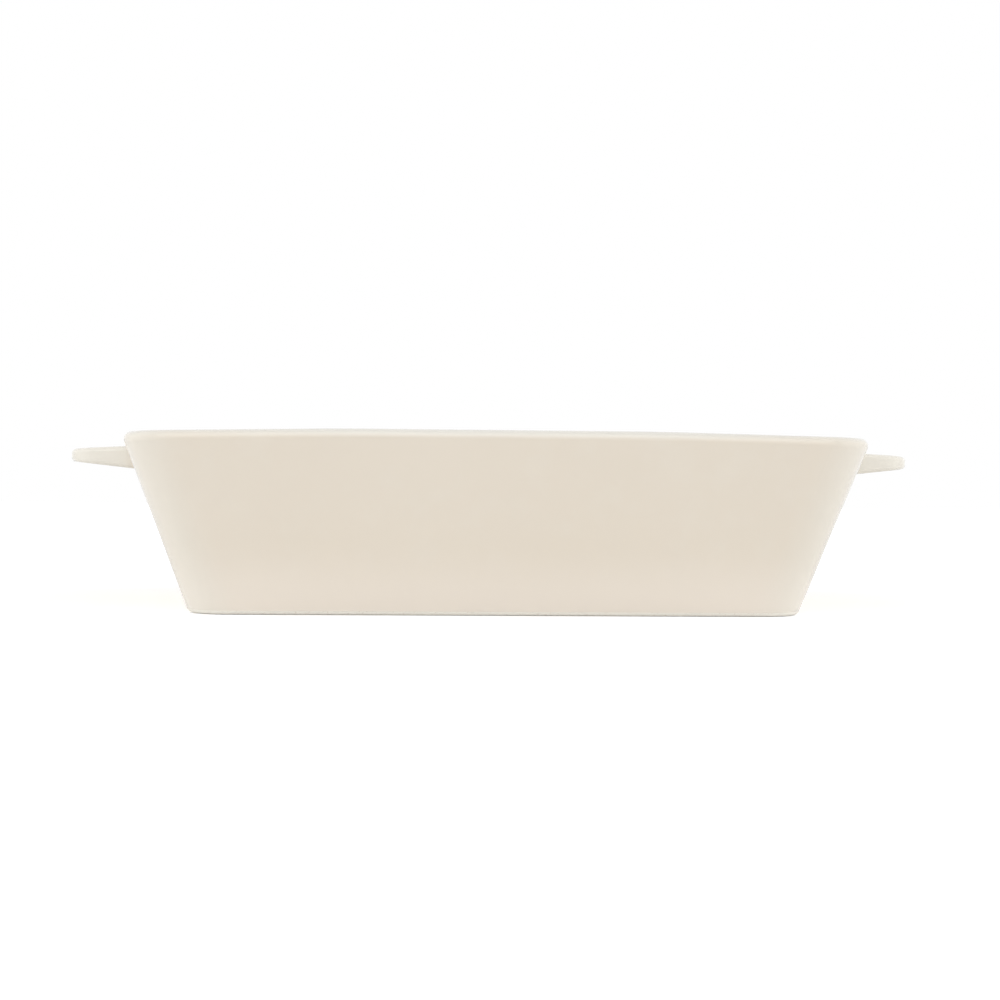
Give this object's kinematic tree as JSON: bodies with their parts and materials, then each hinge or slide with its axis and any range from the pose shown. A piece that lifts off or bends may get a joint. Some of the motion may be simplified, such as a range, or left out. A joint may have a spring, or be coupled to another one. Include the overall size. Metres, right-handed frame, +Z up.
{
  "type": "lasagna dish",
  "caption": "Rectangular ceramic oven dish with leaning walls, a rounded gently crowned rim, a bare foot ring and a flat tapering lug handle at each short side.",
  "frame": {"origin": "middle of the foot ring, on the surface that the dish stands on", "axes": "+X along the dish towards the right handle, +Y across it towards the back long wall, +Z up out of the open top"},
  "size_m": [0.3678, 0.2188, 0.0767],
  "materials": {
    "glaze": "warm cream glaze with a soft, slightly satin gloss, lighter where it thins over the rim",
    "bare_clay": "unglazed fired stoneware, wiped and ground flat, matt and faintly speckled"
  },
  "bodies": {
    "root": {"basin": "glaze", "left_handle": "glaze", "right_handle": "glaze", "foot_ring": "bare_clay"}
  },
  "joints": []
}
